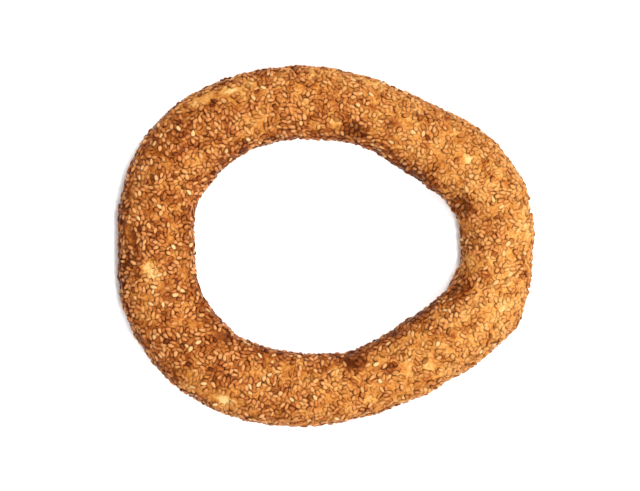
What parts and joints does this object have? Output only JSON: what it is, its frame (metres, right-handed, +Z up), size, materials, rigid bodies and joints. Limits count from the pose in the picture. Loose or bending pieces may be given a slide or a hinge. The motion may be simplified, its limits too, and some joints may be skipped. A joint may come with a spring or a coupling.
{
  "type": "simit",
  "caption": "Egg-shaped ring of baked bread, round on top and flat underneath, with a large open hole; its crust is coated in toasted sesame seeds.",
  "frame": {"origin": "centre of the ring's box in plan, in the plane that the bread rests on", "axes": "+X along the ring's length towards its blunt end, +Y across its width, +Z up from the flat underside"},
  "size_m": [0.2006, 0.1736, 0.0305],
  "materials": {
    "baked_crust": "satin",
    "toasted_sesame": "satin"
  },
  "bodies": {
    "root": {"bread_ring": "baked_crust"}
  },
  "joints": []
}
